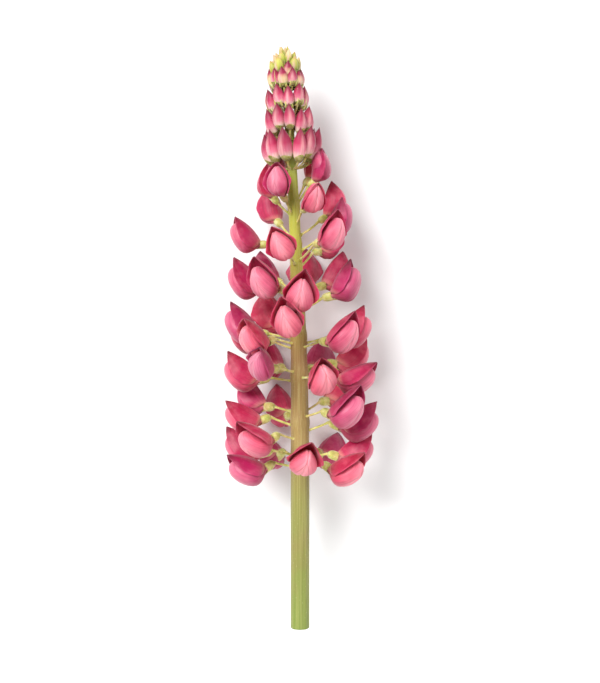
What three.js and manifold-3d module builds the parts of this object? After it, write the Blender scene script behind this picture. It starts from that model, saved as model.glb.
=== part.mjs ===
// A picked lupin flower spike, lying on a table. The flower stem is cut below the lowest whorl.
// Open blooms stand out from it in whorls, on thin stalks, and each sits in its own green calyx.
// Towards the tip the whorls are still in bud, and the last buds are green and grow on the stem.
//
// Millimetres and degrees. +Y runs from the cut end to the tip, +X is to the right and +Z is up.
// The origin is on the table, under the middle of the spike.
import * as THREE from "three";
import { mergeVertices } from "three/addons/utils/BufferGeometryUtils.js";
import Module from "manifold-3d";

const wasm = await Module();
wasm.setup();

// ---------------------------------------------------------------- Sizes of the whole spike
const spikeLength = 310; // cut end to tip
const stemRest = 37.5; // the stem's middle line over the table, held up by the lower blooms
const bendStart = 90; // the stem is straight below this height
const tipLean = 8.5; // how far the tip leans to the left
const tipDroop = 2.5; // how far the soft tip sinks
const clearance = 0.3; // between pieces that touch on the real spike
const knifeEdge = -0.97; // the sharpest edge that a bloom or bud keeps where its neighbours cut it
const pressed = -0.35; // the lowest blooms are pressed this far into the table's plane, then cut flat
const restingAzimuth = 144; // a bloom turned further than this may hang out to the table
const mostHang = 4.5; // how far it may
const bloomRoom = 0.5; // round a bloom that is in place, for the next one to give way to

// Height over the cut end, and the stem's radius there.
const stemRadii = [
  [0, 5.0],
  [92, 4.9],
  [112, 4.7],
  [158, 4.1],
  [180, 3.6],
  [206, 3.0],
  [242, 2.7],
  [262, 2.4],
  [289, 2.0],
  [294, 4.4],
  [300, 4.0],
  [305, 1.6],
];
const nodeSwelling = 0.5; // the stem is thicker by this where a whorl leaves it
const nodeLength = 4; // half the length of that swelling
const stemSides = 8;

// ---------------------------------------------------------------- The whorls
// Open blooms. height: of the whorl on the stem. reach: from the stem's middle line to the calyx.
// rise: how far the stalk climbs on the way. pitch: of the wings, towards the tip. opening: of the
// banner over the wings. blooms: for each one its azimuth, where 0 faces up, 90 right, 180 the table
// and -90 left, its shift along the stem, its nod, added to the pitch, and its roll round its middle.
const bloomWhorls = [
  {
    height: 92, reach: 14.5, rise: 3, pitch: -28, opening: 54, size: 1.06,
    blooms: [
      [-150, 0, 0, 0], [-104, 2, 5, 10], [-66, -4, -5, -10], [2, 4, 4, 14], [52, -4, -6, 10], [100, 1, 8, -8], [150, 0, 0, 0],
    ],
  },
  {
    height: 112, reach: 14.8, rise: 4, pitch: -14, opening: 52, size: 1.08,
    blooms: [
      [-160, 0, 0, 0], [-120, 5, 9, -8], [-84, -2, -2, 14], [-46, -9, -12, -16], [48, 3, 4, 12], [92, -5, -8, -10], [136, 5, 8, 8],
    ],
  },
  {
    height: 137, reach: 15, rise: 3, pitch: -14, opening: 50, size: 1.06,
    blooms: [
      [-150, 0, 0, 0], [-100, -3, -4, 8], [-44, 2, 12, 28], [24, -1, 2, -16], [72, -3, -6, 12], [114, 4, 8, 0], [160, 0, 0, 0],
    ],
  },
  {
    height: 158, reach: 15, rise: 4, pitch: -5, opening: 50, size: 1.08,
    blooms: [
      [-152, 0, 0, 0], [-118, -7, -10, 0], [-88, -1, 4, -6], [-50, -4, -4, 12], [-8, 4, 6, -10], [46, -6, -6, 14], [96, -4, 2, -8],
    ],
  },
  {
    height: 181, reach: 12.5, rise: 5, pitch: 1, opening: 48, size: 1.03,
    blooms: [
      [-142, 0, 0, 0], [-91, -2, 1, 8], [-35, -2, -2, -14], [2, -8, -8, 10], [80, -9, 6, 14], [130, -4, 0, -8], [172, 0, 0, 0],
    ],
  },
  {
    height: 207, reach: 13.5, rise: 7, pitch: 13, opening: 46, size: 0.92,
    blooms: [
      [-150, 3, 8, 0], [-80, -6, -10, 8], [-12, -11, -16, -22], [42, -9, -4, 12], [88, -4, 4, -8], [116, 4, 8, 0], [140, -13, -18, 0],
    ],
  },
  {
    height: 227.5, reach: 7.5, rise: 7, pitch: 42, opening: 35, size: 0.88,
    blooms: [
      [-146, 0, 0, 0], [-98, -5, 0, 0], [-28, -5, -2, -6], [30, -10, -24, 6], [82, 1, -4, 0], [132, 2, 0, 0],
    ],
  },
];

// Whorls in bud, whose buds touch side by side. reach: to the middle of the bud's foot.
const budWhorls = [
  { height: 250.5, reach: 9.6, pitch: 71, length: 17, width: 8.9, count: 10, turn: -17 },
  { height: 265.5, reach: 8.2, pitch: 72, length: 13.5, width: 7.5, count: 10, turn: 2 },
  { height: 277.5, reach: 7.2, pitch: 73, length: 11.5, width: 6.7, count: 10, turn: -32 },
  { height: 287.5, reach: 6.3, pitch: 74, length: 9.5, width: 6.3, count: 10, turn: -12 },
];
// Green buds that are one piece with the stem's tip.
const tipWhorls = [
  { height: 294.5, reach: 4.2, pitch: 64, length: 9, width: 5.8, count: 9, turn: 8 },
  { height: 300, reach: 2.8, pitch: 68, length: 7.5, width: 4.4, count: 7, turn: -20 },
  { height: 303.3, reach: 0.9, pitch: 79, length: 6.7, width: 3.2, count: 4, turn: 30 },
];

// ---------------------------------------------------------------- Sizes of one full-grown bloom
const wing = { length: 17.5, halfWidth: 6.5, halfHeight: 7.9, lift: 7.8, sag: 0.8, narrowTop: 0.34 };
const banner = { length: 20.5, halfWidth: 6.8, depth: 8.0, wrap: 95, claw: 0.25, tip: 0.08, edge: 0.5 };
const bannerBacking = { middle: 2.4, end: 0.6 }; // how deep the banner sinks into the wings
const bannerFoot = { out: 0.5, up: 1.8 }; // where the banner's crease starts, over the bloom's foot
const calyx = { length: 4.6, radius: 2.8, neck: 0.9 };
const stalkRadius = 0.75;

const degrees = Math.PI / 180;

// A repeatable draw from -1 to 1 for one bloom, so that no two are quite alike.
function vary(whorl, bloom, channel) {
  const wave = Math.sin(whorl * 12.9898 + bloom * 78.233 + channel * 37.719) * 43758.5453;
  return 2 * (wave - Math.floor(wave)) - 1;
}

// ---------------------------------------------------------------- The stem's middle line
function stemPoint(height) {
  const share = Math.max(0, (height - bendStart) / (spikeLength - bendStart)) ** 2;
  return new THREE.Vector3(-tipLean * share, height - spikeLength / 2, stemRest - tipDroop * share);
}

// The directions along the stem, to its right and to its top, at a height.
function stemFrame(height) {
  const along = stemPoint(height + 1).sub(stemPoint(height - 1)).normalize();
  const right = new THREE.Vector3().crossVectors(along, new THREE.Vector3(0, 0, 1)).normalize();
  return { along, right, top: new THREE.Vector3().crossVectors(right, along) };
}

function outward(frame, azimuth) {
  return frame.right
    .clone()
    .multiplyScalar(Math.sin(azimuth * degrees))
    .addScaledVector(frame.top, Math.cos(azimuth * degrees));
}

function stemRadius(height) {
  const next = stemRadii.findIndex(([h]) => h >= height);
  if (next < 0) return stemRadii.at(-1)[1];
  if (next === 0) return stemRadii[0][1];
  const [h0, r0] = stemRadii[next - 1];
  const [h1, r1] = stemRadii[next];
  return r0 + ((r1 - r0) * (height - h0)) / (h1 - h0);
}

// ---------------------------------------------------------------- From geometry to solids
// A three.js geometry's corners and triangles, with corners nearer than the tolerance merged and
// collapsed or doubled triangles dropped.
function welded(geometry, tolerance) {
  const plain = geometry.clone();
  plain.deleteAttribute("normal");
  plain.deleteAttribute("uv");
  const merged = mergeVertices(plain, tolerance);
  const corners = merged.index.array;
  const faces = new Map();
  for (let i = 0; i < corners.length; i += 3) {
    const face = [...corners.slice(i, i + 3)];
    const key = face.toSorted((a, b) => a - b).join();
    if (new Set(face).size < 3) continue;
    if (!faces.delete(key)) faces.set(key, face);
  }
  return { positions: new Float32Array(merged.attributes.position.array), faces: [...faces.values()] };
}

// Whether each edge of the triangles has one neighbour on either side.
function isClosed(faces) {
  const uses = new Map();
  for (const face of faces) {
    face.forEach((corner, i) => {
      const next = face[(i + 1) % 3];
      const key = corner < next ? `${corner} ${next}` : `${next} ${corner}`;
      uses.set(key, (uses.get(key) ?? 0) + 1);
    });
  }
  return [...uses.values()].every((count) => count === 2);
}

// A closed three.js geometry as a manifold-3d solid that faces out.
function solidFrom(geometry, tolerance = 1e-4) {
  const { positions, faces } = welded(geometry, tolerance);
  const build = (triVerts) =>
    new wasm.Manifold(new wasm.Mesh({ numProp: 3, vertProperties: positions, triVerts: new Uint32Array(triVerts) }));
  const made = build(faces.flat());
  return made.volume() > 0 ? made : build(faces.flat().reverse());
}

function geometryFrom(solid) {
  const { numProp, numVert, vertProperties, triVerts } = solid.getMesh();
  const corners = new Float32Array(numVert * 3);
  for (let i = 0; i < numVert; i++) {
    corners.set(vertProperties.subarray(i * numProp, i * numProp + 3), i * 3);
  }
  return new THREE.BufferGeometry()
    .setAttribute("position", new THREE.BufferAttribute(corners, 3))
    .setIndex(new THREE.BufferAttribute(triVerts, 1));
}

// Moves every corner of a geometry by a rule that takes and changes a Vector3.
function reshape(geometry, rule) {
  const position = geometry.getAttribute("position");
  const corner = new THREE.Vector3();
  for (let i = 0; i < position.count; i++) {
    rule(corner.fromBufferAttribute(position, i));
    position.setXYZ(i, corner.x, corner.y, corner.z);
  }
  return geometry;
}

// Drops the loose scraps that a cut leaves.
function largest(solid) {
  const bodies = solid.decompose();
  return bodies.reduce((best, body) => (body.volume() > best.volume() ? body : best), bodies[0]);
}

// How blunt the sharpest edge is, as the dot product of its two faces' normals: near -1 is a knife's edge.
function sharpestEdge({ positions, faces }) {
  const corner = (i) => new THREE.Vector3().fromArray(positions, 3 * i);
  const normals = faces.map(([a, b, c]) => new THREE.Triangle(corner(a), corner(b), corner(c)).getNormal(new THREE.Vector3()));
  const seen = new Map();
  let sharpest = 1;
  faces.forEach((face, f) => {
    face.forEach((start, i) => {
      const key = [start, face[(i + 1) % 3]].toSorted((a, b) => a - b).join();
      if (seen.has(key)) sharpest = Math.min(sharpest, normals[f].dot(normals[seen.get(key)]));
      seen.set(key, f);
    });
  });
  return sharpest;
}

// The finished solid, without the slivers that cuts leave. Of its closed forms it is the first with no
// edge sharper than allowed, or else the bluntest.
function tidied(solid, tolerance, allowed = -1) {
  let best;
  for (const gap of [0.04, 0.02, 0.01, 0.004, 0.001, 0.0001]) {
    for (const share of [1, 1.25, 0.75, 1.5, 0.5, 0]) {
      const simple = geometryFrom(largest(share ? solid.simplify(tolerance * share) : solid));
      const mesh = welded(simple, gap);
      if (!isClosed(mesh.faces)) continue;
      const sharpest = sharpestEdge(mesh);
      if (sharpest >= allowed) return largest(solidFrom(simple, gap));
      if (!best || sharpest > best.sharpest + 0.005) best = { simple, gap, sharpest };
    }
  }
  if (!best) throw new Error("a solid keeps slivers that can't be welded");
  return largest(solidFrom(best.simple, best.gap));
}

function meshFrom(name, solid, material) {
  const geometry = geometryFrom(solid);
  geometry.computeVertexNormals();
  const mesh = new THREE.Mesh(geometry, material);
  mesh.name = name;
  return mesh;
}

// ---------------------------------------------------------------- The bloom's petals
// In a bloom's own axes: +X out of the calyx, +Z towards the spike's tip, origin at the calyx's mouth.

// How full the wings are along their length, from 0 at the foot to 0 at the front.
function wingFullness(along) {
  return along > 0.001 && along < 0.999 ? Math.sin(Math.PI * along ** 1.5) ** 0.65 : 0;
}

// The two wings, joined in front along a ridge into one full pouch that is narrower at the top.
function wingsSolid(size, grow) {
  const pouch = reshape(new THREE.SphereGeometry(1, 6, 5, Math.PI / 6), (p) => {
    const along = (1 + p.y) / 2;
    const round = Math.hypot(p.x, p.z) || 1;
    const full = wingFullness(along);
    const middle = wing.lift * along - wing.sag * Math.sin(Math.PI * along);
    const side = (p.x / round) * full * (size * wing.halfWidth + grow) * (1 - (wing.narrowTop * p.z) / round);
    const up = (p.z / round) * full * (size * wing.halfHeight + grow);
    p.set(along * (size * wing.length + 2 * grow) - grow, side, size * middle + up);
  });
  return solidFrom(pouch);
}

// A point of the banner: along its crease from 0 to 1, and across from -1 to 1. The crease rises
// over the wings by the opening, and the two halves wrap forward from it round the wings.
function bannerPoint(along, across, size, opening) {
  const rise = opening * degrees;
  const bulge = 0.06 * banner.length * Math.sin(Math.PI * along);
  const fullness = 0.95 * Math.sin(Math.PI * along ** 0.8) ** 0.7 + banner.claw * (1 - along) ** 2;
  const full = size * Math.min(1, Math.max(banner.tip, fullness));
  const turned = Math.abs(across) * banner.wrap * degrees;
  const side = Math.sign(across) * banner.halfWidth * full * Math.sin(turned);
  const forward = banner.depth * full * (1 - Math.cos(turned)) - size * bulge;
  return new THREE.Vector3(
    size * (bannerFoot.out + banner.length * along * Math.cos(rise)) + forward * Math.sin(rise),
    side,
    size * (bannerFoot.up + banner.length * along * Math.sin(rise)) - forward * Math.cos(rise),
  );
}

function bannerSolid(size, opening, grow) {
  const plate = reshape(new THREE.BoxGeometry(1, 1, 1, 3, 4, 1), (p) => {
    const along = p.x + 0.5;
    const across = 2 * p.y;
    const step = 0.02;
    const [a0, a1] = [Math.max(0, along - step), Math.min(1, along + step)];
    const [c0, c1] = [Math.max(-1, across - step), Math.min(1, across + step)];
    const at = (a, c) => bannerPoint(a, c, size, opening);
    const normal = at(a1, across).sub(at(a0, across)).cross(at(along, c1).sub(at(along, c0)));
    const backing = bannerBacking.end + (bannerBacking.middle - bannerBacking.end) * Math.sin(Math.PI * along) ** 2;
    normal.normalize().multiplyScalar(p.z > 0 ? banner.edge + grow : -backing - grow);
    p.copy(at(along, across)).add(normal);
    p.y *= 1 + grow / banner.halfWidth;
  });
  return solidFrom(plate);
}

function corollaSolid(size, opening, grow = 0) {
  return wingsSolid(size, grow).add(bannerSolid(size, opening, grow));
}

// A closed bud, in the same axes: a drop with a soft keel, drawn out to a point that turns inwards.
function budSolid(length, width, sides, rings, grow = 0) {
  const drop = reshape(new THREE.SphereGeometry(1, sides, rings), (p) => {
    const along = (1 + p.y) / 2;
    const round = Math.hypot(p.x, p.z) || 1;
    const full = along > 0.001 && along < 0.999 ? Math.sin(Math.PI * along ** 0.78) ** 0.8 : 0;
    const half = width / 2 + grow;
    const side = (p.x / round) * full * half;
    const up = (p.z / round) * full * half * 0.95;
    p.set(along * (length + 2 * grow) - grow, side, up + 0.16 * width * along ** 2);
  });
  return solidFrom(drop);
}

// ---------------------------------------------------------------- Where each bloom stands
function bloomAxes(frame, azimuth, pitch) {
  const out = outward(frame, azimuth);
  const forward = out
    .clone()
    .multiplyScalar(Math.cos(pitch * degrees))
    .addScaledVector(frame.along, Math.sin(pitch * degrees));
  const up = frame.along
    .clone()
    .multiplyScalar(Math.cos(pitch * degrees))
    .addScaledVector(out, -Math.sin(pitch * degrees));
  return { out, forward, side: new THREE.Vector3().crossVectors(up, forward), up };
}

// The same axes, rolled round the bloom's middle line.
function rolled(axes, roll) {
  const up = axes.up.clone().applyAxisAngle(axes.forward, -roll * degrees);
  return { ...axes, up, side: new THREE.Vector3().crossVectors(up, axes.forward) };
}

function placement(axes, origin) {
  return new THREE.Matrix4().makeBasis(axes.forward, axes.side, axes.up).setPosition(origin);
}

function placed(solid, matrix) {
  return solid.transform(matrix.toArray());
}

// ---------------------------------------------------------------- The stem, its stalks and calyxes
function stemSolid(grow = 0) {
  const heights = [];
  const ringStep = 24;
  for (let h = 0; h < bloomWhorls[0].height - nodeLength; h += ringStep) heights.push(h);
  for (const { height } of bloomWhorls) heights.push(height - nodeLength, height, height + nodeLength);
  for (const [height] of stemRadii.slice(-6)) heights.push(height);
  const swell = (h) => (bloomWhorls.some(({ height }) => height === h) ? nodeSwelling : 0);
  const last = heights.at(-1);
  const profile = [
    new THREE.Vector2(0, 0 - grow),
    ...heights.map((h, i) => new THREE.Vector2(stemRadius(h) + swell(h) + grow, i ? h : -grow)),
    new THREE.Vector2(0, last + 1 + grow),
  ];
  const tube = new THREE.LatheGeometry(profile, stemSides);
  return solidFrom(
    reshape(tube, (p) => {
      const frame = stemFrame(Math.max(0, p.y));
      const middle = stemPoint(p.y);
      p.copy(middle.addScaledVector(frame.right, p.x).addScaledVector(frame.top, p.z));
    }),
  );
}

function stalkSolid(start, control, end, grow = 0) {
  const radius = stalkRadius + grow;
  const section = new THREE.Shape([
    new THREE.Vector2(radius, 0),
    new THREE.Vector2(-radius / 2, 0.87 * radius),
    new THREE.Vector2(-radius / 2, -0.87 * radius),
  ]);
  const path = new THREE.QuadraticBezierCurve3(start, control, end);
  return solidFrom(new THREE.ExtrudeGeometry(section, { steps: 3, extrudePath: path }));
}

// A cup in the bloom's axes, that ends at its mouth in x = 0.
function calyxSolid(size, grow = 0) {
  const length = calyx.length * size;
  const cup = new THREE.LatheGeometry(
    [
      new THREE.Vector2(0, -length - grow),
      new THREE.Vector2(calyx.neck + grow, -length - grow),
      new THREE.Vector2(calyx.radius * size * 0.92 + grow, -length * 0.45),
      new THREE.Vector2(calyx.radius * size + grow, grow),
      new THREE.Vector2(0, grow),
    ],
    5,
  );
  return solidFrom(reshape(cup, (p) => p.set(p.y, p.x, p.z)));
}

// ---------------------------------------------------------------- Materials
const stemGreen = new THREE.MeshStandardMaterial({ color: 0xa9b055, roughness: 0.65, metalness: 0 });
const bloomPink = new THREE.MeshStandardMaterial({ color: 0xc85a72, roughness: 0.6, metalness: 0 });
const budPink = new THREE.MeshStandardMaterial({ color: 0xd0788a, roughness: 0.6, metalness: 0 });

// ---------------------------------------------------------------- Putting the spike together
const tableTop = solidFrom(
  new THREE.BoxGeometry(2 * spikeLength, 2 * spikeLength, spikeLength).translate(0, 0, -spikeLength / 2),
);

function lowestPoint(solid) {
  return solid.boundingBox().min[2];
}

const green = [stemSolid()];
const greenGrown = [stemSolid(clearance)];
const blooms = [];

bloomWhorls.forEach((whorl, w) => {
  whorl.blooms.forEach(([azimuth, shift, nod, roll], b) => {
    const size = whorl.size * (1 + 0.05 * vary(w, b, 1));
    const height = whorl.height + shift;
    const pitch = whorl.pitch + nod + 7 * vary(w, b, 2);
    const opening = whorl.opening + 6 * vary(w, b, 3);
    const rise = whorl.rise + 1.5 * vary(w, b, 4);
    const frame = stemFrame(height);
    const axes = rolled(bloomAxes(frame, azimuth, pitch), roll);
    const root = stemPoint(height);
    const mouthAt = (reach) =>
      root
        .clone()
        .addScaledVector(axes.out, reach)
        .addScaledVector(frame.along, rise)
        .addScaledVector(axes.forward, calyx.length * size);
    const corolla = corollaSolid(size, opening);
    const corollaGrown = corollaSolid(size, opening, bloomRoom);

    // Blooms under the stem are pressed in towards it, or hang out from it, until they just rest
    // on the table.
    let reach = whorl.reach;
    const low = lowestPoint(placed(corolla, placement(axes, mouthAt(reach))));
    const hang = (low - pressed) / -axes.out.z;
    if (low < pressed || (Math.abs(azimuth) > restingAzimuth && hang < mostHang)) reach += hang;

    const mouth = mouthAt(reach);
    const foot = mouth.clone().addScaledVector(axes.forward, clearance);
    const calyxFoot = mouth.clone().addScaledVector(axes.forward, -0.8 * calyx.length * size);
    const start = root.clone().addScaledVector(axes.out, 0.4 * stemRadius(height));
    const control = root.clone().addScaledVector(axes.out, 0.75 * reach).addScaledVector(frame.along, 0.5 * rise);
    green.push(stalkSolid(start, control, calyxFoot), placed(calyxSolid(size), placement(axes, mouth)));
    greenGrown.push(
      stalkSolid(start, control, calyxFoot, clearance),
      placed(calyxSolid(size, clearance * 0.9), placement(axes, mouth)),
    );
    blooms.push({
      name: `bloom_${w + 1}_${b + 1}`,
      solid: placed(corolla, placement(axes, foot)).subtract(tableTop),
      grown: placed(corollaGrown, placement(axes, foot)),
    });
  });
});

function budRing(whorl, w, grow = 0) {
  const frame = stemFrame(whorl.height);
  const buds = [];
  for (let b = 0; b < whorl.count; b++) {
    const azimuth = whorl.turn + (360 * b) / whorl.count + 1.5 * vary(w, b, 1);
    const axes = bloomAxes(frame, azimuth, whorl.pitch + 2 * vary(w, b, 2));
    const foot = stemPoint(whorl.height + 0.8 * vary(w, b, 4)).addScaledVector(axes.out, whorl.reach);
    const length = whorl.length * (1 + 0.05 * vary(w, b, 3));
    const [sides, rings] = whorl.width > 6 ? [6, 4] : [5, 4];
    buds.push(placed(budSolid(length, whorl.width, sides, rings, grow), placement(axes, foot)));
  }
  return buds;
}

const rings = budWhorls.map((whorl, i) => ({
  name: `bud_whorl_${i + 1}`,
  solid: wasm.Manifold.union(budRing(whorl, 20 + i)),
  grown: wasm.Manifold.union(budRing(whorl, 20 + i, clearance)),
}));
tipWhorls.forEach((whorl, i) => green.push(...budRing(whorl, 30 + i)));
tipWhorls.forEach((whorl, i) => greenGrown.push(...budRing(whorl, 30 + i, clearance)));

const stem = wasm.Manifold.union(green);
const stemRoom = wasm.Manifold.union(greenGrown);

const spike = new THREE.Group();
spike.add(meshFrom("flower_stem", tidied(stem, 0.12), stemGreen));

// Each piece gives way to the stem and to every piece that is already in place.
const pieces = [
  ...rings.toReversed().map((ring) => ({ ...ring, material: budPink })),
  ...blooms.toReversed().map((bloom) => ({ ...bloom, material: bloomPink })),
];
pieces.forEach((piece, i) => {
  const near = pieces.slice(0, i).filter((other) => other.grown.intersect(piece.solid).volume() > 0);
  const room = wasm.Manifold.union([stemRoom, ...near.map((other) => other.grown)]);
  const solid = tidied(piece.solid.subtract(room), 0.2, knifeEdge);
  piece.solid = solid;
  spike.add(meshFrom(piece.name, solid, piece.material));
});

export default spike;
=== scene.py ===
"""A picked lupin flower spike, lying on a pale table and seen from above.

The spike lies along +Y with its tip at +Y, and +Z is up. Sizes are in millimetres over the cut end of the
stem, as a florist would measure it, and become metres only where a mesh is made.
"""

import math

import bmesh
import bpy
from mathutils import Matrix, Vector


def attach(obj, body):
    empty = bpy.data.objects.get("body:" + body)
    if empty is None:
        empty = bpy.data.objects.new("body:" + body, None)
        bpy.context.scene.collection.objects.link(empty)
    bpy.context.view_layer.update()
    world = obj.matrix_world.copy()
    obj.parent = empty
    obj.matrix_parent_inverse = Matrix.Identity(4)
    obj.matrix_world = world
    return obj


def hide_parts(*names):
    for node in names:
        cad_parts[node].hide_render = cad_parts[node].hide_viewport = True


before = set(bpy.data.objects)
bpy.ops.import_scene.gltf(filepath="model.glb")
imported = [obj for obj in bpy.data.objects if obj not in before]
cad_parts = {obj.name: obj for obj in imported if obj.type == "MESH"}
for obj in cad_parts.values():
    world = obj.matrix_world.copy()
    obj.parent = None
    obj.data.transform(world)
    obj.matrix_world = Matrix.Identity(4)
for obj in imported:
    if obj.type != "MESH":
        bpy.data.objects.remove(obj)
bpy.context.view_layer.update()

# ------------------------------------------------------------------ Flower stem
# The round, faintly ribbed stalk that carries the whole spike. It is bare below the lowest whorl, and is cut
# straight across there, so its pale pith shows. It swells where each whorl leaves it and leans at the tip.
SPIKE_LENGTH = 310
STEM_REST = 37.5
BEND_START = 90
TIP_LEAN = 8.5
TIP_DROOP = 2.5
STEM_RADII = (
    (0, 5.0), (92, 4.9), (112, 4.7), (158, 4.1), (181, 3.6), (206, 3.0),
    (242, 2.7), (262, 2.4), (289, 2.0), (294, 4.0), (300, 3.6), (305, 1.4),
)
WHORL_HEIGHTS = (92, 112, 137, 158, 181, 207, 227.5)
NODE_SWELLING = 0.55  # the stem is thicker by this where a whorl leaves it
NODE_SPREAD = 3.2  # and this far along from it
PITH_RADIUS = 5.1  # the rings of the cut face are drawn out to here
STEM_SIDES = 48
BROAD_RIBS = (8, 0.016)  # how many stand round the stem, and their height as a share of its radius
FINE_RIBS = (13, 0.009)
MM = 0.001


def vary(whorl, bloom, channel):
    """A repeatable draw from -1 to 1 for one bloom, so that no two are quite alike."""
    wave = math.sin(whorl * 12.9898 + bloom * 78.233 + channel * 37.719) * 43758.5453
    return 2 * (wave - math.floor(wave)) - 1


def stem_point(height):
    """The stem's middle line."""
    share = max(0.0, (height - BEND_START) / (SPIKE_LENGTH - BEND_START)) ** 2
    return Vector((-TIP_LEAN * share, height - SPIKE_LENGTH / 2, STEM_REST - TIP_DROOP * share))


def stem_axes(height):
    """The directions along the stem, to its right and to its top."""
    along = (stem_point(height + 1) - stem_point(height - 1)).normalized()
    right = along.cross(Vector((0, 0, 1))).normalized()
    return along, right, right.cross(along)


def stem_radius(height):
    """The stem's radius at a height, with the swellings where the whorls leave it."""
    swelling = sum(NODE_SWELLING * math.exp(-((height - h) / NODE_SPREAD) ** 2) for h in WHORL_HEIGHTS)
    for (h0, r0), (h1, r1) in zip(STEM_RADII, STEM_RADII[1:]):
        if height <= h1:
            return r0 + (r1 - r0) * max(0.0, height - h0) / (h1 - h0) + swelling
    return STEM_RADII[-1][1]


def extrude_ring(bm, edges):
    """Extrudes a ring of edges where it stands. Returns the new ring's vertices and edges."""
    grown = bmesh.ops.extrude_edge_only(bm, edges=edges)["geom"]
    ring = [part for part in grown if isinstance(part, bmesh.types.BMVert)]
    return ring, [part for part in grown if isinstance(part, bmesh.types.BMEdge)
                  and all(vert in ring for vert in part.verts)]


def grow_tube(bm, stations, sides):
    """A tube: a circle is extruded from each station to the next. Returns the last ring's edges."""
    ring = bmesh.ops.create_circle(bm, segments=sides, radius=1.0, matrix=stations[0])["verts"]
    edges = list({edge for vert in ring for edge in vert.link_edges})
    for before, after in zip(stations, stations[1:]):
        ring, edges = extrude_ring(bm, edges)
        bmesh.ops.transform(bm, matrix=after @ before.inverted(), verts=ring)
    return edges


def close_tube(bm, last_edges):
    """Closes a tube at both ends. Returns the face of its first end."""
    bmesh.ops.edgeloop_fill(bm, edges=last_edges)
    first_edges = [edge for edge in bm.edges if edge.is_boundary]
    return bmesh.ops.edgeloop_fill(bm, edges=first_edges)["faces"]


def station(middle, across, up, radius):
    """The matrix that lays a unit circle round a point, in the plane of two directions."""
    turned = Matrix((across * radius, up * radius, across.cross(up) * radius)).transposed()
    return Matrix.Translation(middle) @ turned.to_4x4()


def linear(red, green, blue):
    """A colour as a screen shows it, from 0 to 255, in the shader's own units."""
    def convert(value):
        value /= 255
        return value / 12.92 if value <= 0.04045 else ((value + 0.055) / 1.055) ** 2.4
    return convert(red), convert(green), convert(blue), 1.0


def new_finish(name, roughness, specular=0.4):
    """An empty material: its nodes, its links and its main shader."""
    finish = bpy.data.materials.new(name)
    finish.use_nodes = True
    shader = finish.node_tree.nodes["Principled BSDF"]
    shader.inputs["Roughness"].default_value = roughness
    shader.inputs["Specular IOR Level"].default_value = specular
    return finish, finish.node_tree.nodes, finish.node_tree.links, shader


def add_ramp(nodes, stops):
    ramp = nodes.new("ShaderNodeValToRGB")
    while len(ramp.color_ramp.elements) < len(stops):
        ramp.color_ramp.elements.new(0.5)
    for element, (place, colour) in zip(ramp.color_ramp.elements, stops):
        element.position = place
        element.color = colour
    return ramp


def add_mix(nodes, links, factor, first, second):
    """Mixes two colours. Each input is a socket, a number or a colour."""
    mix = nodes.new("ShaderNodeMix")
    mix.data_type = "RGBA"
    for socket, value in ((mix.inputs[0], factor), (mix.inputs[6], first), (mix.inputs[7], second)):
        if isinstance(value, bpy.types.NodeSocket):
            links.new(value, socket)
        else:
            socket.default_value = value
    return mix.outputs[2]


def add_math(nodes, links, operation, first, second=0.0, third=None, clamp=False):
    maths = nodes.new("ShaderNodeMath")
    maths.operation = operation
    maths.use_clamp = clamp
    for socket, value in zip(maths.inputs, (first, second, third)):
        if isinstance(value, bpy.types.NodeSocket):
            links.new(value, socket)
        elif value is not None:
            socket.default_value = value
    return maths.outputs[0]


def add_noise(nodes, links, vector, scale, detail=2.0):
    noise = nodes.new("ShaderNodeTexNoise")
    noise.inputs["Scale"].default_value = scale
    noise.inputs["Detail"].default_value = detail
    links.new(vector, noise.inputs["Vector"])
    return noise.outputs["Fac"]


def add_bump(nodes, links, shader, height, strength, distance):
    bump = nodes.new("ShaderNodeBump")
    bump.inputs["Strength"].default_value = strength
    bump.inputs["Distance"].default_value = distance
    links.new(height, bump.inputs["Height"])
    links.new(bump.outputs["Normal"], shader.inputs["Normal"])


def stretched(nodes, links, scale, place=(0, 0, 0)):
    """The piece's own coordinates, stretched along one way for a streaky pattern."""
    mapping = nodes.new("ShaderNodeMapping")
    mapping.inputs["Scale"].default_value = scale
    mapping.inputs["Location"].default_value = place
    links.new(nodes.new("ShaderNodeTexCoord").outputs["Object"], mapping.inputs["Vector"])
    return mapping.outputs["Vector"]


def finish_piece(bm, name, finishes, replaced=()):
    """Turns a mesh in millimetres into a smooth piece that rides on the spike."""
    bmesh.ops.scale(bm, vec=(MM, MM, MM), verts=bm.verts)
    for face in bm.faces:
        face.smooth = True
    mesh = bpy.data.meshes.new(name)
    bm.to_mesh(mesh)
    bm.free()
    for finish in finishes:
        mesh.materials.append(finish)
    piece = bpy.data.objects.new(name, mesh)
    bpy.context.scene.collection.objects.link(piece)
    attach(piece, "root")
    if replaced:
        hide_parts(*replaced)


stem_skin, nodes, links, shader = new_finish("stem skin", 0.5)
height_up = nodes.new("ShaderNodeSeparateXYZ")
links.new(stretched(nodes, links, (1, 1, 1), (0, SPIKE_LENGTH * MM / 2, 0)), height_up.inputs[0])
height_share = add_math(nodes, links, "DIVIDE", height_up.outputs["Y"], SPIKE_LENGTH * MM)
stem_colours = add_ramp(nodes, (
    (0.00, linear(124, 140, 62)), (0.22, linear(136, 134, 68)), (0.33, linear(156, 132, 80)),
    (0.47, linear(144, 112, 62)), (0.58, linear(164, 148, 66)), (0.68, linear(184, 184, 68)),
    (0.84, linear(146, 160, 62)), (1.00, linear(156, 168, 72)),
))
links.new(height_share, stem_colours.inputs[0])
ribs = add_noise(nodes, links, stretched(nodes, links, (1500, 22, 1500)), 1.0, 3.0)
blotches = add_noise(nodes, links, stretched(nodes, links, (60, 30, 60)), 1.0, 3.0)
streak_share = add_math(nodes, links, "MULTIPLY_ADD", ribs, 2.4, -1.05, clamp=True)
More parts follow.
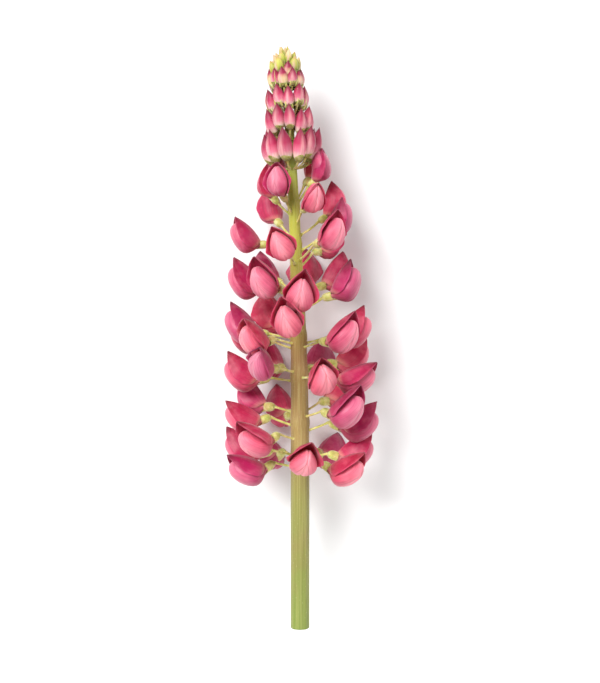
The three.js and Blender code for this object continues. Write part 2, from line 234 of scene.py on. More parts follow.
streaked = add_mix(nodes, links, add_math(nodes, links, "MULTIPLY", streak_share, 0.4),
                   stem_colours.outputs[0], linear(206, 196, 130))
blush = add_math(nodes, links, "MULTIPLY_ADD", blotches, 2.2, -1.05, clamp=True)
stem_tint = add_mix(nodes, links, add_math(nodes, links, "MULTIPLY", blush, 0.55),
                    streaked, linear(158, 96, 84))
links.new(stem_tint, shader.inputs["Base Color"])
shader.inputs["Subsurface Weight"].default_value = 0.15
shader.inputs["Subsurface Radius"].default_value = (0.6, 0.8, 0.25)
shader.inputs["Subsurface Scale"].default_value = 0.003
add_bump(nodes, links, shader, ribs, 0.8, 0.0005)

cut_pith, nodes, links, shader = new_finish("cut pith", 0.75, 0.25)
pith_place = stretched(nodes, links, (1, 0, 1), (0, 0, -STEM_REST * MM))
from_middle = nodes.new("ShaderNodeVectorMath")
from_middle.operation = "LENGTH"
links.new(pith_place, from_middle.inputs[0])
pith_rings = add_ramp(nodes, (
    (0.0, linear(196, 206, 158)), (0.45, linear(214, 220, 176)), (0.70, linear(188, 200, 132)),
    (0.78, linear(132, 154, 78)), (0.86, linear(178, 190, 116)), (1.0, linear(120, 136, 66)),
))
links.new(add_math(nodes, links, "DIVIDE", from_middle.outputs["Value"], PITH_RADIUS * MM),
          pith_rings.inputs[0])
links.new(pith_rings.outputs[0], shader.inputs["Base Color"])
pith_cells = nodes.new("ShaderNodeTexVoronoi")
pith_cells.inputs["Scale"].default_value = 2600
links.new(nodes.new("ShaderNodeTexCoord").outputs["Object"], pith_cells.inputs["Vector"])
add_bump(nodes, links, shader, pith_cells.outputs["Distance"], 0.5, 0.0003)

bm = bmesh.new()
stem_heights = [0.0, 0.25] + [1.0 + 2.0 * step for step in range(152)]
stem_stations = []
for height in stem_heights:
    along, right, top = stem_axes(height)
    trim = 0.93 if height == 0 else 1.0
    stem_stations.append(station(stem_point(height), right, top, stem_radius(height) * trim))
cut_face = close_tube(bm, grow_tube(bm, stem_stations, STEM_SIDES))
for vert in bm.verts:
    _, right, top = stem_axes(vert.co.y + SPIKE_LENGTH / 2)
    spoke = vert.co - stem_point(vert.co.y + SPIKE_LENGTH / 2)
    turn = math.atan2(spoke.dot(top), spoke.dot(right))
    broad = BROAD_RIBS[1] * math.cos(BROAD_RIBS[0] * turn + 0.004 * vert.co.y)
    vert.co += spoke * (broad + FINE_RIBS[1] * math.cos(FINE_RIBS[0] * turn + 1))
bmesh.ops.recalc_face_normals(bm, faces=bm.faces)
for face in cut_face:
    face.material_index = 1
finish_piece(bm, "lupin_stem", (stem_skin, cut_pith), ("flower_stem",))

# Each silky hair's foot, the way it leans and its length. They are grown once every bud has its own.
hairs = []
STEM_HAIRS = 1500
HAIRY_FROM, HAIRY_LENGTH = 2, 286  # where the stem's hairs begin, and how far they reach along it
GOLDEN_TURN = math.radians(137.5)
for hair in range(STEM_HAIRS):
    height = HAIRY_FROM + HAIRY_LENGTH * (hair + 0.5 * vary(3, hair, 1)) / STEM_HAIRS
    along, right, top = stem_axes(height)
    radial = right * math.cos(hair * GOLDEN_TURN) + top * math.sin(hair * GOLDEN_TURN)
    way = (radial + along * (0.7 + 0.5 * vary(3, hair, 2)) + right * 0.3 * vary(3, hair, 3)).normalized()
    foot = stem_point(height) + radial * stem_radius(height) * 0.985
    hairs.append((foot, way, 0.75 + 0.25 * vary(3, hair, 4)))

# ------------------------------------------------------------------ Stalks and calyxes of the open blooms
# Each bloom stands out on a thin soft stalk that climbs a little from the stem. The stalk ends in the calyx,
# a pale silky cup of two pointed lips that clasps the foot of the petals.

# For each bloom: its azimuth, its shift along the stem, its nod towards the tip, and its roll.
BLOOM_WHORLS = (
    dict(height=92, reach=14.5, rise=3, pitch=-28, opening=54, size=1.06, blooms=(
        (-150, 0, 0, 0), (-104, 2, 5, 10), (-66, -4, -5, -10), (2, 4, 4, 14),
        (52, -4, -6, 10), (100, 1, 8, -8), (150, 0, 0, 0),
    )),
    dict(height=112, reach=14.8, rise=4, pitch=-14, opening=52, size=1.08, blooms=(
        (-160, 0, 0, 0), (-120, 5, 9, -8), (-84, -2, -2, 14), (-46, -9, -12, -16),
        (48, 3, 4, 12), (92, -5, -8, -10), (136, 5, 8, 8),
    )),
    dict(height=137, reach=15, rise=3, pitch=-14, opening=50, size=1.06, blooms=(
        (-150, 0, 0, 0), (-100, -3, -4, 8), (-44, 2, 12, 28), (24, -1, 2, -16),
        (72, -3, -6, 12), (114, 4, 8, 0), (160, 0, 0, 0),
    )),
    dict(height=158, reach=15, rise=4, pitch=-5, opening=50, size=1.08, blooms=(
        (-152, 0, 0, 0), (-118, -7, -10, 0), (-88, -1, 4, -6), (-50, -4, -4, 12),
        (-8, 4, 6, -10), (46, -6, -6, 14), (96, -4, 2, -8),
    )),
    dict(height=181, reach=12.5, rise=5, pitch=1, opening=48, size=1.03, blooms=(
        (-142, 0, 0, 0), (-91, -2, 1, 8), (-35, -2, -2, -14), (2, -8, -8, 10),
        (80, -9, 6, 14), (130, -4, 0, -8), (172, 0, 0, 0),
    )),
    dict(height=207, reach=13.5, rise=7, pitch=13, opening=46, size=0.92, blooms=(
        (-150, 3, 8, 0), (-80, -6, -10, 8), (-12, -11, -16, -22), (42, -9, -4, 12),
        (88, -4, 4, -8), (116, 4, 8, 0), (140, -13, -18, 0),
    )),
    dict(height=227.5, reach=7.5, rise=7, pitch=42, opening=35, size=0.88, blooms=(
        (-146, 0, 0, 0), (-98, -5, 0, 0), (-28, -5, -2, -6), (30, -10, -24, 6),
        (82, 1, -4, 0), (132, 2, 0, 0),
    )),
)
CALYX_LENGTH = 4.6
CALYX_RADIUS = 2.35
CALYX_LIP = 3.4
CALYX_THICKNESS = 0.26
CALYX_STRETCH = 1.1  # the cup is longer than the plain one that the petals were placed by
CALYX_OVERLAP = 1.1  # how far it is pushed out over the foot of the petals
CALYX_HAIRS = 46
CALYX_SIDES = 28
STALK_RADIUS = 0.6
STALK_STEPS = 16
STALK_SIDES = 10
STALK_FOOT = 2.2  # the stem's skin reaches this far out along each stalk
CLEARANCE = 0.3  # between the plain calyx and its petals
RESTING_AZIMUTH = 144  # a bloom turned further down than this is drawn out until it rests on the table
MOST_HANG = 4.5  # but by no more than this
TABLE_GAP = 0.02  # petals that rest on the table are pressed flat this far above it


def outward(height, azimuth):
    """Straight out of the stem. An azimuth of 0 faces up, 90 right and 180 the table."""
    _, right, top = stem_axes(height)
    return right * math.sin(math.radians(azimuth)) + top * math.cos(math.radians(azimuth))


def bloom_axes(height, azimuth, pitch):
    """A bloom's own directions: out of its calyx, to its side and up towards the spike's tip."""
    along, out = stem_axes(height)[0], outward(height, azimuth)
    lean = math.radians(pitch)
    forward = out * math.cos(lean) + along * math.sin(lean)
    up = along * math.cos(lean) - out * math.sin(lean)
    return forward, up.cross(forward), up


def rolled(axes, roll):
    """The same directions, rolled round the bloom's middle line."""
    forward, _, up = axes
    up = Matrix.Rotation(math.radians(-roll), 3, forward) @ up
    return forward, up.cross(forward), up


def stand(axes, place):
    """The matrix that stands a bloom's own shape on its calyx."""
    return Matrix.Translation(place) @ Matrix(axes).transposed().to_4x4()


def bend(start, control, end, steps):
    """Points along a soft curve from start to end."""
    return [start.lerp(control, t / steps).lerp(control.lerp(end, t / steps), t / steps)
            for t in range(steps + 1)]


def tube_stations(points, radii):
    """Stations along a curve, kept from twisting."""
    side = Vector((0.3, 0.2, 0.93))
    stations = []
    for i, (point, radius) in enumerate(zip(points, radii)):
        along = (points[min(i + 1, len(points) - 1)] - points[max(i - 1, 0)]).normalized()
        across = (side - along * side.dot(along)).normalized()
        side = across
        stations.append(station(point, across, along.cross(across), radius))
    return stations


def graft(bm, part):
    """Adds a finished small mesh to the mesh of its piece."""
    step = bpy.data.meshes.new("step")
    part.to_mesh(step)
    part.free()
    bm.from_mesh(step)
    bpy.data.meshes.remove(step)


def add_stalk(bm, start, control, end, radius):
    """A stalk, flared where the stem's skin runs out into it and thicker under the calyx."""
    points = bend(start, control, end, STALK_STEPS)
    radii = [radius * (1 + 1.5 * math.exp(-((t / 1.7) ** 2)) + 0.4 * max(0, t - 12) / 4)
             for t in range(STALK_STEPS + 1)]
    stalk = bmesh.new()
    close_tube(stalk, grow_tube(stalk, tube_stations(points, radii), STALK_SIDES))
    bmesh.ops.recalc_face_normals(stalk, faces=stalk.faces)
    for face in stalk.faces:
        face.material_index = int((face.calc_center_median() - start).length < STALK_FOOT)
    graft(bm, stalk)


def lip_reach(turn):
    """How far the calyx reaches out all round: a long lower lip and a short upper one with two teeth."""
    lower = math.exp(-((math.atan2(math.cos(turn), -math.sin(turn)) / 0.62) ** 2))
    upper = sum(math.exp(-((math.atan2(math.cos(turn - tooth), math.sin(turn - tooth)) / 0.26) ** 2))
                for tooth in (-0.3, 0.3))
    return lower + 0.62 * upper


def add_calyx(bm, matrix, length, radius, lip, depth):
    """A cup that is pushed out of the stalk's end ring by ring, until its rim is drawn into two lips."""
    profile = ((-1.0, 0.30), (-0.94, 0.52), (-0.76, 0.82), (-0.48, 0.98), (-0.15, 1.0), (0.0, 0.97))
    cup = bmesh.new()
    stations = [station(Vector((x * length, 0, 0)), Vector((0, 1, 0)), Vector((0, 0, 1)), r * radius)
                for x, r in profile]
    edges = grow_tube(cup, stations, CALYX_SIDES)
    for reach, widen in ((0.35, 1.0), (0.7, 1.03), (1.0, 1.05)):
        ring, edges = extrude_ring(cup, edges)
        for vert in ring:
            turn = math.atan2(vert.co.z, vert.co.y)
            far = lip_reach(turn) * reach
            vert.co = Vector((
                lip * far, math.cos(turn) * radius * 0.97 * widen * (1 - 0.12 * far),
                math.sin(turn) * radius * 0.97 * widen * (1 + (0.22 if turn > 0 else 0.05) * far),
            ))
    bmesh.ops.solidify(cup, geom=cup.faces[:], thickness=depth)
    bmesh.ops.transform(cup, matrix=matrix, verts=cup.verts)
    bmesh.ops.recalc_face_normals(cup, faces=cup.faces)
    graft(bm, cup)


def add_calyx_hairs(matrix, length, radius, whorl, bloom):
    """Silky hairs all round a calyx, leaning towards the petals."""
    for hair in range(CALYX_HAIRS):
        share = (hair + 0.5) / CALYX_HAIRS
        turn = hair * GOLDEN_TURN + bloom
        full = radius * (0.55 + 0.45 * math.sin(math.pi * min(1.0, 0.1 + share * 0.6)))
        radial = Vector((0, math.cos(turn), math.sin(turn)))
        lean = Vector((0.9, 0.3 * vary(whorl + hair, bloom, 21), 0.3 * vary(whorl + hair, bloom, 22)))
        foot = matrix @ (Vector(((share - 0.98) * length, 0, 0)) + radial * full * 0.96)
        way = (matrix.to_3x3() @ (radial + lean)).normalized()
        hairs.append((foot, way, 0.7 + 0.25 * vary(whorl + hair, bloom, 23)))


silky_green, nodes, links, shader = new_finish("silky calyx", 0.62, 0.3)
mottle = add_noise(nodes, links, stretched(nodes, links, (1, 1, 1)), 420, 3.0)
calyx_colours = add_ramp(nodes, (
    (0.25, linear(150, 154, 66)), (0.5, linear(198, 194, 108)), (0.78, linear(230, 220, 166)),
))
links.new(mottle, calyx_colours.inputs[0])
rosy = add_noise(nodes, links, stretched(nodes, links, (1, 1, 1)), 130, 1.0)
rosy_share = add_math(nodes, links, "MULTIPLY_ADD", rosy, 3.0, -1.5, clamp=True)
calyx_tint = add_mix(nodes, links, add_math(nodes, links, "MULTIPLY", rosy_share, 0.5),
                     calyx_colours.outputs[0], linear(186, 110, 96))
links.new(calyx_tint, shader.inputs["Base Color"])
shader.inputs["Sheen Weight"].default_value = 0.5
shader.inputs["Sheen Roughness"].default_value = 0.4
shader.inputs["Subsurface Weight"].default_value = 0.2
shader.inputs["Subsurface Scale"].default_value = 0.002
add_bump(nodes, links, shader, mottle, 0.35, 0.0003)

# ------------------------------------------------------------------ Petals of the open blooms
# A pea flower's petals. Two full wings meet in front along a seam with a painted highlight and hide the keel
# between them.
# The banner stands behind and over them, folded along its middle, and its two halves clasp the wings.
WING = dict(length=17.5, half_width=6.4, half_height=7.9, lift=7.8, sag=0.8, narrow_top=0.34)
BANNER = dict(length=20.5, half_width=7.0, depth=8.2, wrap=95, claw=0.25, tip=0.05, thickness=0.36)
BANNER_FOOT = (0.5, 1.8)


def ease(value, low, high):
    """0 below low, 1 above high, and a soft step between."""
    share = min(1.0, max(0.0, (value - low) / (high - low)))
    return share * share * (3 - 2 * share)


def wing_fullness(along):
    """How full the wings are along their length: slim at the foot and round in front."""
    if not 0 < along < 1:
        return 0.0
    return max(math.sin(math.pi * along**1.5) ** (0.65 - 0.1 * along), 0.27 - 0.5 * along)


def add_wings(bm, layers, size, whorl, bloom):
    """Both wings: a ball is drawn out into a pouch. Its poles are the two cheeks, with the seam between."""
    lie_over = Matrix.Rotation(math.radians(90), 4, "X")
    ball = bmesh.ops.create_uvsphere(bm, u_segments=34, v_segments=28, radius=1.0, matrix=lie_over)["verts"]
    skew = 0.5 * vary(whorl, bloom, 6)
    for vert in ball:
        cheek = math.asin(max(-1.0, min(1.0, vert.co.y))) * 2 / math.pi
        slope = cheek * (0.5 + 0.5 * abs(cheek)) * math.pi / 2
        rim = Vector((vert.co.x, vert.co.z))
        rim = rim.normalized() * math.cos(slope) if rim.length > 1e-6 else Vector((0, 0))
        beside, ahead, above = math.sin(slope), rim.x, rim.y
        along = (1 + ahead) / 2
        spread = math.hypot(beside, above) or 1.0
        full = wing_fullness(along)
        middle = WING["lift"] * along - WING["sag"] * math.sin(math.pi * along)
        side = beside / spread * full * WING["half_width"] * (1 - WING["narrow_top"] * above / spread)
        up = above / spread * full * WING["half_height"]
        groove = math.exp(-((beside / 0.055) ** 2)) * ease(along, 0.12, 0.35)
        lobe = math.exp(-(((abs(beside) - 0.2) / 0.16) ** 2)) * ease(along, 0.3, 0.6)
        fold = 0.16 * math.sin(7 * above + 3 * along + whorl + bloom)
        fold *= ease(0.75 - along, 0.0, 0.4) * abs(beside)
        push = Vector((ahead, 0.35 * math.copysign(1, beside) * (abs(beside) > 0.02), above))
        vert.co = (Vector((along * WING["length"], side + skew * along, middle + up))
                   + push * (0.28 * lobe - 0.62 * groove + fold)) * size
        vert[layers["along"]] = along
        vert[layers["across"]] = 0.6 * abs(beside) + 0.45 * math.atan2(above, ahead + 1.3)
        # How low on the wings a point lies; it carries the painted shade on their lower side.
        vert[layers["low"]] = 0.5 - 0.5 * above
        # A painted highlight along the front seam of the wings.
        vert[layers["ridge"]] = math.exp(-((beside / 0.30) ** 2)) * ease(along, 0.35, 0.85)
        vert[layers["part"]] = 0.0


def banner_point(along, across, opening, flare):
    """A point of the banner, along its crease from 0 to 1 and across from -1 to 1. Its rims flare out."""
    rise = math.radians(opening)
    bulge = 0.06 * BANNER["length"] * math.sin(math.pi * along)
    full = 0.95 * math.sin(math.pi * min(1.0, along) ** 0.8) ** 0.7 if 0 < along < 1 else 0.0
    full = min(1.0, max(BANNER["tip"], full + BANNER["claw"] * (1 - along) ** 2))
    turned = math.radians(abs(across) * BANNER["wrap"])
    side = BANNER["half_width"] * full * math.sin(turned)
    forward = BANNER["depth"] * full * (1 - math.cos(turned)) - bulge
    forward -= 0.6 * full * math.exp(-((across / 0.06) ** 2))
    reflex = max(0.0, abs(across) - 0.66) / 0.34
    side += flare * full * reflex**1.8 * ease(along, 0.15, 0.5)
    forward -= 0.9 * full * reflex**2.4
    return Vector((
        BANNER_FOOT[0] + BANNER["length"] * along * math.cos(rise) + forward * math.sin(rise),
        math.copysign(side, across),
        BANNER_FOOT[1] + BANNER["length"] * along * math.sin(rise) - forward * math.cos(rise),
    ))


def add_banner(bm, layers, size, opening, whorl, bloom):
    """The banner: a grid laid on its folded form, then given its thickness."""
    sheet = bmesh.ops.create_grid(bm, x_segments=24, y_segments=34, size=1.0)["verts"]
    wave = 3 * vary(whorl, bloom, 7)
    flare = 1.6 + 1.1 * vary(whorl, bloom, 9)
    for vert in sheet:
        along, across = (vert.co.x + 1) / 2, vert.co.y
        along = 1 - (1 - along) ** 1.15
        vert.co = banner_point(along, across, opening, flare)
        rim = ease(abs(across), 0.55, 1.0) * ease(along, 0.05, 0.4)
        ripple = 0.34 * rim * math.sin(11 * along + wave + (across > 0) * 2.1)
        vert.co.y += math.copysign(ripple, across)
        vert.co.x += 0.25 * rim * math.sin(7 * along + 2 * wave + (across > 0) * 1.3)
        vert.co *= size
        vert[layers["along"]] = along
        vert[layers["across"]] = abs(across)
        vert[layers["low"]] = 0.0
        vert[layers["ridge"]] = 0.0
        vert[layers["part"]] = 1.0
    bmesh.ops.remove_doubles(bm, verts=sheet, dist=0.02)
    faces = [face for face in bm.faces if face.verts[0][layers["part"]] == 1.0]
    bmesh.ops.recalc_face_normals(bm, faces=faces)
    bmesh.ops.solidify(bm, geom=faces, thickness=BANNER["thickness"])


def petal_layers(bm):
    """Values on every vertex of a mesh, which the colours of petals and buds follow."""
    names = ("along", "across", "low", "ridge", "part", "tint", "young")
    return {name: bm.verts.layers.float.new(name) for name in names}


def read_value(nodes, name):
    value = nodes.new("ShaderNodeAttribute")
    value.attribute_name = name
    return value.outputs["Fac"]


def add_veins(nodes, links, across, along, tint):
    """Veins that run along a petal and differ from bloom to bloom. Each value comes with its scale."""
    place = nodes.new("ShaderNodeCombineXYZ")
    for (value, scale), socket in zip((across, along, tint), place.inputs):
        links.new(add_math(nodes, links, "MULTIPLY", value, scale), socket)
    return add_noise(nodes, links, place.outputs[0], 1.0, 4.0)


petal_skin, nodes, links, shader = new_finish("petal skin", 0.46, 0.4)
along_petal, across_petal, petal_ridge = (read_value(nodes, name) for name in ("along", "across", "ridge"))
petal_low, petal_part, petal_tint = (read_value(nodes, name) for name in ("low", "part", "tint"))
veins = add_veins(nodes, links, (across_petal, 30.0), (along_petal, 1.8), (petal_tint, 7.0))
cloud = add_noise(nodes, links, stretched(nodes, links, (1, 1, 1)), 230, 3.0)

wing_rise = add_ramp(nodes, (
    (0.0, linear(228, 166, 150)), (0.2, linear(196, 72, 96)), (0.55, linear(198, 70, 100)),
    (0.85, linear(212, 92, 118)), (1.0, linear(224, 118, 138)),
))
links.new(along_petal, wing_rise.inputs[0])
# Painted shade: the wings are painted darker crimson on their lower side, where they fall in shadow.
wing_under_shade = add_math(nodes, links, "MULTIPLY_ADD", petal_low, 1.5, -0.75, clamp=True)
wing_shaded_below = add_mix(nodes, links, add_math(nodes, links, "MULTIPLY", wing_under_shade, 0.7),
                     wing_rise.outputs[0], linear(158, 28, 68))
# Painted highlight: the wings are painted pale pink along their front seam.
wing_colour = add_mix(nodes, links, add_math(nodes, links, "MULTIPLY", petal_ridge, 0.7), wing_shaded_below,
                      linear(242, 156, 168))

banner_rise = add_ramp(nodes, (
    (0.0, linear(228, 156, 142)), (0.14, linear(194, 52, 88)), (0.45, linear(180, 20, 74)),
    (0.8, linear(156, 8, 56)), (0.95, linear(116, 4, 36)), (1.0, linear(84, 4, 26)),
))
links.new(along_petal, banner_rise.inputs[0])
banner_rim = add_math(nodes, links, "MULTIPLY_ADD", across_petal, 3.4, -2.6, clamp=True)
banner_colour = add_mix(nodes, links, add_math(nodes, links, "MULTIPLY", banner_rim, 0.5),
                        banner_rise.outputs[0], linear(212, 64, 110))
petal_colour = add_mix(nodes, links, petal_part, wing_colour, banner_colour)
vein_share = add_math(nodes, links, "MULTIPLY_ADD", veins, 3.0, -1.3, clamp=True)
veined = add_mix(nodes, links, add_math(nodes, links, "MULTIPLY", vein_share, 0.45), petal_colour,
                 linear(128, 8, 46))
cloud_share = add_math(nodes, links, "MULTIPLY_ADD", cloud, 2.4, -1.05, clamp=True)
clouded = add_mix(nodes, links, add_math(nodes, links, "MULTIPLY", cloud_share, 0.4), veined,
                  linear(226, 118, 138))
hue = nodes.new("ShaderNodeHueSaturation")
links.new(add_math(nodes, links, "MULTIPLY_ADD", petal_tint, 0.009, 0.496), hue.inputs["Hue"])
links.new(add_math(nodes, links, "MULTIPLY_ADD", petal_tint, 0.14, 1.0), hue.inputs["Value"])
links.new(clouded, hue.inputs["Color"])
links.new(hue.outputs[0], shader.inputs["Base Color"])
shader.inputs["Subsurface Weight"].default_value = 0.18
shader.inputs["Subsurface Radius"].default_value = (1.0, 0.35, 0.4)
shader.inputs["Subsurface Scale"].default_value = 0.002
shader.inputs["Sheen Weight"].default_value = 0.15
shader.inputs["Sheen Roughness"].default_value = 0.45
add_bump(nodes, links, shader, veins, 0.35, 0.0004)

for whorl, facts in enumerate(BLOOM_WHORLS):
    green, pink = bmesh.new(), bmesh.new()
    petal_layers(pink)
    for bloom, (azimuth, shift, nod, roll) in enumerate(facts["blooms"]):
        size = facts["size"] * (1 + 0.05 * vary(whorl, bloom, 1))
        height = facts["height"] + shift
        pitch = facts["pitch"] + nod + 7 * vary(whorl, bloom, 2)
        opening = facts["opening"] + 6 * vary(whorl, bloom, 3)
        rise = facts["rise"] + 1.5 * vary(whorl, bloom, 4)
        along, out = stem_axes(height)[0], outward(height, azimuth)
        axes = rolled(bloom_axes(height, azimuth, pitch), roll)
        root = stem_point(height)

        flower = bmesh.new()
        layers = petal_layers(flower)
        add_wings(flower, layers, size, whorl, bloom)
        add_banner(flower, layers, size, opening, whorl, bloom)
        for vert in flower.verts:
            vert[layers["tint"]] = vary(whorl, bloom, 5)
        bmesh.ops.transform(flower, matrix=stand(axes, Vector()), verts=flower.verts)
        foot = root + along * rise + axes[0] * (CALYX_LENGTH * size + CLEARANCE)
        lowest = min(vert.co.z for vert in flower.verts) + foot.z
        reach = facts["reach"]
        hang = (lowest + out.z * reach) / -out.z
        if lowest + out.z * reach < 0 or (abs(azimuth) > RESTING_AZIMUTH and hang < MOST_HANG):
            reach += hang
        bmesh.ops.translate(flower, vec=foot + out * reach, verts=flower.verts)
        for vert in flower.verts:
            vert.co.z = max(vert.co.z, TABLE_GAP)
        bmesh.ops.recalc_face_normals(flower, faces=flower.faces)
        graft(pink, flower)

        mouth = foot + out * reach - axes[0] * CLEARANCE
        stalk_end = mouth - axes[0] * 0.82 * CALYX_LENGTH * size
        add_stalk(green, root + out * 0.6 * stem_radius(height),
                  root + out * 0.75 * reach + along * 0.5 * rise, stalk_end, STALK_RADIUS)
        cup = stand(axes, mouth + axes[0] * CALYX_OVERLAP)
        cup_length, cup_radius = CALYX_LENGTH * size * CALYX_STRETCH, CALYX_RADIUS * size
        add_calyx(green, cup, cup_length, cup_radius, CALYX_LIP * size, CALYX_THICKNESS)
        add_calyx_hairs(cup, cup_length, cup_radius, whorl, bloom)
    finish_piece(green, f"stalks_{whorl + 1}", (silky_green, stem_skin))
    finish_piece(pink, f"petals_{whorl + 1}", (petal_skin,),
                 [f"bloom_{whorl + 1}_{bloom + 1}" for bloom in range(len(facts["blooms"]))])

# ------------------------------------------------------------------ Whorls in bud
# Closed buds that stand up along the stem on short stalks. The banner is still wrapped round each bud, and
# the seam of its edges faces out. They are deep pink above and fade to cream where the calyx holds them.
BUD_WHORLS = (
    dict(height=250.5, reach=9.6, pitch=71, length=17, width=8.9, count=10, turn=-17, young=0.0),
    dict(height=265.5, reach=8.2, pitch=72, length=13.5, width=7.5, count=10, turn=2, young=0.02),
    dict(height=277.5, reach=7.2, pitch=73, length=11.5, width=6.7, count=10, turn=-32, young=0.08),
    dict(height=287.5, reach=6.3, pitch=74, length=9.5, width=6.3, count=10, turn=-12, young=0.3),
)
TIP_WHORLS = (
    dict(height=294.5, reach=4.2, pitch=64, length=9, width=5.8, count=9, turn=8, young=0.62),
    dict(height=300, reach=2.8, pitch=68, length=7.5, width=4.4, count=7, turn=-20, young=0.9),
    dict(height=303.3, reach=0.9, pitch=79, length=6.7, width=3.2, count=4, turn=30, young=1.0),
)
BUD_DRAWS, TIP_DRAWS = 20, 30  # the first whorl's number in each set's own draws
BUD_UNEVEN = dict(azimuth=4.5, pitch=5, height=1.9)
BUD_CALYX = dict(cup=0.12, young_cup=0.16, lip=0.12, uneven_lip=0.06)  # as shares of the bud's length
BUD_HAIRS = 26
BUD_STALK_RADIUS = 0.5
BRACTS_FROM = 2  # the first whorl whose bracts haven't dropped
BRACT_WIDTH = 0.7
BRACT_STEPS = 7
BRACT_SIDES = 6


def bud_point(along, turn, length, width, grow=0.0):
    """A point of a bud's skin, along it from 0 to 1 and round it. Its tip curls a little to the stem."""
    slim = 0.6 + 0.2 * along + 0.45 * along**3
    full = math.sin(math.pi * along**0.78) ** slim if 0.0005 < along < 0.9995 else 0.0
    return Vector((
        along * length,
        math.cos(turn) * (full * width / 2 + grow),
        math.sin(turn) * (full * width / 2 * 0.95 + grow) + 0.16 * width * along**2,
    ))


def add_bud(bm, layers, length, width, whorl, bud):
    """A closed bud: a ball is drawn into a drop. The banner's two edges meet in a seam that faces out."""
    ball = bmesh.ops.create_uvsphere(bm, u_segments=24, v_segments=18, radius=1.0)["verts"]
    seam_turn = math.radians(-90 + 22 * vary(whorl, bud, 8))
    twist = 0.35 * vary(whorl, bud, 7)
    for vert in ball:
        along = min(1.0, max(0.0, (1 + vert.co.z) / 2))
        turn = math.atan2(vert.co.y, vert.co.x)
        apart = turn - seam_turn - twist * along
        apart = math.atan2(math.sin(apart), math.cos(apart))
        lap = math.exp(-(((apart - 0.34) / 0.22) ** 2)) - 1.3 * math.exp(-((apart / 0.13) ** 2))
        vert.co = bud_point(along, turn, length, width, 0.026 * width * lap * math.sin(math.pi * along))
        vert[layers["along"]] = along
        vert[layers["across"]] = min(1.0, abs(apart) / math.pi)
        # A painted highlight along each bud's seam, fading towards its tip.
        vert[layers["ridge"]] = math.exp(-(((apart + 0.3) / 0.3) ** 2)) * ease(0.96 - along, 0.0, 0.5)


def add_bud_calyx(bm, matrix, length, width, cup, lip):
    """A small cup pushed out ring by ring over the foot of a bud. It ends in two lips."""
    calyx = bmesh.new()
    rings = [bmesh.ops.create_circle(calyx, segments=20, radius=1.0)["verts"]]
    edges = calyx.edges[:]
    shares = (0.012, 0.05, 0.10, 0.5 * (0.10 + cup), cup, cup + 0.5 * lip, cup + lip)
    for _ in shares[1:]:
        ring, edges = extrude_ring(calyx, edges)
        rings.append(ring)
    for ring, share in zip(rings, shares):
        for vert in ring:
            turn = math.atan2(vert.co.y, vert.co.x)
            tooth = abs(math.sin(turn)) ** 1.8 if share > cup else 0.0
            reach = share if share <= cup else cup + (share - cup) * tooth
            vert.co = bud_point(reach, turn, length, width, 0.03 + 0.012 * width)
    bmesh.ops.solidify(calyx, geom=calyx.faces[:], thickness=0.14)
    bmesh.ops.recalc_face_normals(calyx, faces=calyx.faces)
    bmesh.ops.transform(calyx, matrix=matrix, verts=calyx.verts)
    graft(bm, calyx)


def add_bract(bm, start, out, along, length, width):
    """A slim leaf-like point that stood under a bud. It curves up beside it and ends in a fine tip."""
    end = start + out * 0.3 * length + along * 0.9 * length
    points = bend(start, start + out * 0.42 * length, end, BRACT_STEPS)
    bract = bmesh.new()
    shares = [step / BRACT_STEPS for step in range(BRACT_STEPS + 1)]
    radii = [width * (0.55 + 0.45 * math.sin(math.pi * min(1.0, 0.25 + share))) * (1 - share**2.2) + 0.04
             for share in shares]
    stations = [place @ Matrix.Diagonal((1, 0.4, 1, 1)) for place in tube_stations(points, radii)]
    close_tube(bract, grow_tube(bract, stations, BRACT_SIDES))
    bmesh.ops.recalc_face_normals(bract, faces=bract.faces)
    graft(bm, bract)


bud_skin, nodes, links, shader = new_finish("bud skin", 0.48, 0.4)
along_bud, across_bud, bud_ridge = (read_value(nodes, name) for name in ("along", "across", "ridge"))
bud_tint, bud_young = read_value(nodes, "tint"), read_value(nodes, "young")
bud_veins = add_veins(nodes, links, (across_bud, 26.0), (along_bud, 1.5), (bud_tint, 9.0))
grown_colours = add_ramp(nodes, (
    (0.0, linear(214, 208, 140)), (0.18, linear(242, 214, 198)), (0.36, linear(216, 120, 142)),
    (0.58, linear(178, 40, 84)), (0.84, linear(134, 12, 54)), (1.0, linear(98, 8, 36)),
))
links.new(along_bud, grown_colours.inputs[0])
young_colours = add_ramp(nodes, (
    (0.0, linear(112, 134, 40)), (0.4, linear(160, 176, 60)), (0.78, linear(198, 196, 92)),
    (1.0, linear(186, 120, 76)),
))
links.new(along_bud, young_colours.inputs[0])
green_foot = add_math(nodes, links, "MULTIPLY", bud_young, 2.9)
green_rise = add_math(nodes, links, "MULTIPLY_ADD", along_bud, -1.5, green_foot)
green_share = add_math(nodes, links, "ADD", green_rise, -0.12, clamp=True)
bud_aged = add_mix(nodes, links, green_share, grown_colours.outputs[0], young_colours.outputs[0])
pink_share = add_math(nodes, links, "SUBTRACT", 1.0, green_share)
turning = add_math(nodes, links, "MULTIPLY", green_share, pink_share)
bud_turning = add_mix(nodes, links, add_math(nodes, links, "MULTIPLY", turning, 2.8), bud_aged,
                      linear(238, 214, 166))
